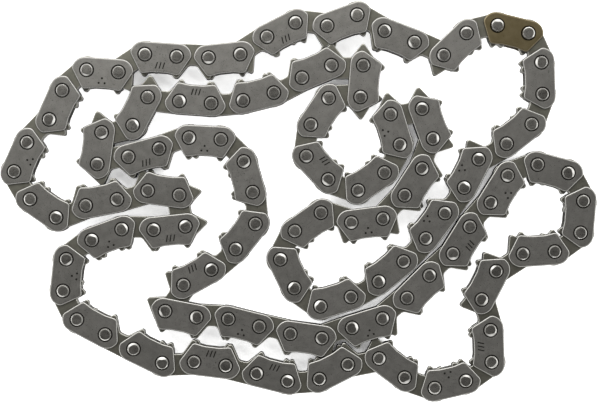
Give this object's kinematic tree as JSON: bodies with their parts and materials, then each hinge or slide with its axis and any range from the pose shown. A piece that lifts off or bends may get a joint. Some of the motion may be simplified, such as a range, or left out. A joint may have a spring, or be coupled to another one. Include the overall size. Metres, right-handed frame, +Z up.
{
  "type": "inverted tooth chain",
  "caption": "Endless inverted-tooth drive chain: toothed steel plates stacked on riveted pins, lying on its side in a loose tangle, with one bronze-coloured connecting link.",
  "frame": {"origin": "on the floor under the middle of the laid chain", "axes": "+X along the longer side of the laid chain, +Z up along every pin, teeth and plate backs facing sideways"},
  "size_m": [0.1498, 0.1006, 0.0101],
  "materials": {
    "guide_plate": "tumbled satin steel with broken edges",
    "tooth_plate": "satin hardened steel, slightly olive",
    "pin": "ground steel with bright chamfered ends",
    "connecting_guide_plate": "dull bronze-coloured coating on steel"
  },
  "bodies": {
    "resting_coil": {"upper_coil_guide_plates": "guide_plate", "upper_coil_outer_tooth_plates": "tooth_plate", "upper_coil_inner_tooth_plates": "tooth_plate", "upper_coil_pins": "pin", "lower_coil_guide_plates": "guide_plate", "lower_coil_outer_tooth_plates": "tooth_plate", "lower_coil_inner_tooth_plates": "tooth_plate", "lower_coil_pins": "pin"},
    "connecting_link": {"connecting_link_guide_plates": "connecting_guide_plate", "connecting_link_tooth_plates": "tooth_plate", "connecting_link_pin": "pin", "connecting_link_pin_stubs": "pin"},
    "link_001": {"link_001_tooth_plates": "tooth_plate"},
    "link_002": {"link_002_guide_plates": "guide_plate", "link_002_tooth_plates": "tooth_plate", "link_002_pins": "pin"},
    "link_003": {"link_003_tooth_plates": "tooth_plate"},
    "link_004": {"link_004_guide_plates": "guide_plate", "link_004_tooth_plates": "tooth_plate", "link_004_pins": "pin"},
    "link_102": {"link_102_guide_plates": "guide_plate", "link_102_tooth_plates": "tooth_plate", "link_102_pins": "pin"},
    "link_103": {"link_103_tooth_plates": "tooth_plate"},
    "link_104": {"link_104_guide_plates": "guide_plate", "link_104_tooth_plates": "tooth_plate", "link_104_pins": "pin"},
    "link_105": {"link_105_tooth_plates": "tooth_plate"},
    "link_106": {"link_106_guide_plates": "guide_plate", "link_106_tooth_plates": "tooth_plate", "link_106_pins": "pin"},
    "link_107": {"link_107_tooth_plates": "tooth_plate"},
    "link_108": {"link_108_guide_plates": "guide_plate", "link_108_tooth_plates": "tooth_plate", "link_108_pins": "pin"},
    "link_109": {"link_109_tooth_plates": "tooth_plate"},
    "link_110": {"link_110_guide_plates": "guide_plate", "link_110_tooth_plates": "tooth_plate", "link_110_pins": "pin"},
    "link_111": {"link_111_tooth_plates": "tooth_plate"},
    "link_112": {"link_112_guide_plates": "guide_plate", "link_112_tooth_plates": "tooth_plate", "link_112_pins": "pin"},
    "link_113": {"link_113_tooth_plates": "tooth_plate"},
    "link_114": {"link_114_guide_plates": "guide_plate", "link_114_tooth_plates": "tooth_plate", "link_114_pins": "pin"},
    "link_115": {"link_115_tooth_plates": "tooth_plate"},
    "link_116": {"link_116_guide_plates": "guide_plate", "link_116_tooth_plates": "tooth_plate", "link_116_pins": "pin"},
    "link_117": {"link_117_tooth_plates": "tooth_plate"},
    "link_118": {"link_118_guide_plates": "guide_plate", "link_118_tooth_plates": "tooth_plate", "link_118_pins": "pin"},
    "link_119": {"link_119_tooth_plates": "tooth_plate"},
    "link_120": {"link_120_guide_plates": "guide_plate", "link_120_tooth_plates": "tooth_plate", "link_120_pins": "pin"},
    "link_121": {"link_121_tooth_plates": "tooth_plate"}
  },
  "joints": [
    {"name": "pivot_102", "type": "hinge", "parent": "resting_coil", "child": "link_102", "pos_m": [-0.06084, -0.00405, 0.005], "axis": [0, 0, 1], "range_deg": [0, 45]},
    {"name": "pivot_103", "type": "hinge", "parent": "link_102", "child": "link_103", "pos_m": [-0.0674, 0.00054, 0.005], "axis": [0, 0, -1], "range_deg": [-90, 0]},
    {"name": "pivot_104", "type": "hinge", "parent": "link_103", "child": "link_104", "pos_m": [-0.0714, 0.00746, 0.005], "axis": [0, 0, 1], "range_deg": [0, 60]},
    {"name": "pivot_105", "type": "hinge", "parent": "link_104", "child": "link_105", "pos_m": [-0.06814, 0.01477, 0.005], "axis": [0, 0, -1], "range_deg": [-45, 0]},
    {"name": "pivot_106", "type": "hinge", "parent": "link_105", "child": "link_106", "pos_m": [-0.06258, 0.02053, 0.005], "axis": [0, 0, 1], "range_deg": [0, 90]},
    {"name": "pivot_107", "type": "hinge", "parent": "link_106", "child": "link_107", "pos_m": [-0.05933, 0.02784, 0.005], "axis": [0, 0, -1], "range_deg": [-75, 0]},
    {"name": "pivot_108", "type": "hinge", "parent": "link_107", "child": "link_108", "pos_m": [-0.0532, 0.03298, 0.005], "axis": [0, 0, 1], "range_deg": [0, 40]},
    {"name": "pivot_109", "type": "hinge", "parent": "link_108", "child": "link_109", "pos_m": [-0.04522, 0.03242, 0.005], "axis": [0, 0, -1], "range_deg": [-45, 0]},
    {"name": "pivot_110", "type": "hinge", "parent": "link_109", "child": "link_110", "pos_m": [-0.03859, 0.03689, 0.005], "axis": [0, 0, 1], "range_deg": [0, 60]},
    {"name": "pivot_111", "type": "hinge", "parent": "link_110", "child": "link_111", "pos_m": [-0.03061, 0.03633, 0.005], "axis": [0, 0, -1], "range_deg": [-45, 0]},
    {"name": "pivot_112", "type": "hinge", "parent": "link_111", "child": "link_112", "pos_m": [-0.02261, 0.03606, 0.005], "axis": [0, 0, 1], "range_deg": [0, 45]},
    {"name": "pivot_113", "type": "hinge", "parent": "link_112", "child": "link_113", "pos_m": [-0.01466, 0.03689, 0.005], "axis": [0, 0, -1], "range_deg": [-45, 0]},
    {"name": "pivot_114", "type": "hinge", "parent": "link_113", "child": "link_114", "pos_m": [-0.00795, 0.04125, 0.005], "axis": [0, 0, 1], "range_deg": [0, 60]},
    {"name": "pivot_115", "type": "hinge", "parent": "link_114", "child": "link_115", "pos_m": [-0.00082, 0.04488, 0.005], "axis": [0, 0, -1], "range_deg": [-75, 0]},
    {"name": "pivot_116", "type": "hinge", "parent": "link_115", "child": "link_116", "pos_m": [0.00714, 0.04404, 0.005], "axis": [0, 0, 1], "range_deg": [0, 60]},
    {"name": "pivot_117", "type": "hinge", "parent": "link_116", "child": "link_117", "pos_m": [0.01465, 0.04678, 0.005], "axis": [0, 0, -1], "range_deg": [-75, 0]},
    {"name": "pivot_118", "type": "hinge", "parent": "link_117", "child": "link_118", "pos_m": [0.02158, 0.04278, 0.005], "axis": [0, 0, 1], "range_deg": [0, 90]},
    {"name": "pivot_119", "type": "hinge", "parent": "link_118", "child": "link_119", "pos_m": [0.02905, 0.03991, 0.005], "axis": [0, 0, -1], "range_deg": [-75, 0]},
    {"name": "pivot_120", "type": "hinge", "parent": "link_119", "child": "link_120", "pos_m": [0.03636, 0.03666, 0.005], "axis": [0, 0, 1], "range_deg": [0, 45]},
    {"name": "pivot_121", "type": "hinge", "parent": "link_120", "child": "link_121", "pos_m": [0.04211, 0.04222, 0.005], "axis": [0, 0, -1], "range_deg": [-90, 3]},
    {"name": "pivot_000", "type": "hinge", "parent": "link_121", "child": "connecting_link", "pos_m": [0.04989, 0.04411, 0.005], "axis": [0, 0, 1], "range_deg": [-10, 90]},
    {"name": "pivot_005", "type": "hinge", "parent": "resting_coil", "child": "link_004", "pos_m": [0.05214, 0.01443, 0.005], "axis": [0, 0, -1], "range_deg": [0, 20]},
    {"name": "pivot_004", "type": "hinge", "parent": "link_004", "child": "link_003", "pos_m": [0.05845, 0.01936, 0.005], "axis": [0, 0, 1], "range_deg": [-90, 0]},
    {"name": "pivot_003", "type": "hinge", "parent": "link_003", "child": "link_002", "pos_m": [0.06118, 0.02687, 0.005], "axis": [0, 0, -1], "range_deg": [0, 90]},
    {"name": "pivot_002", "type": "hinge", "parent": "link_002", "child": "link_001", "pos_m": [0.0609, 0.03487, 0.005], "axis": [0, 0, 1], "range_deg": [-90, 10]}
  ]
}
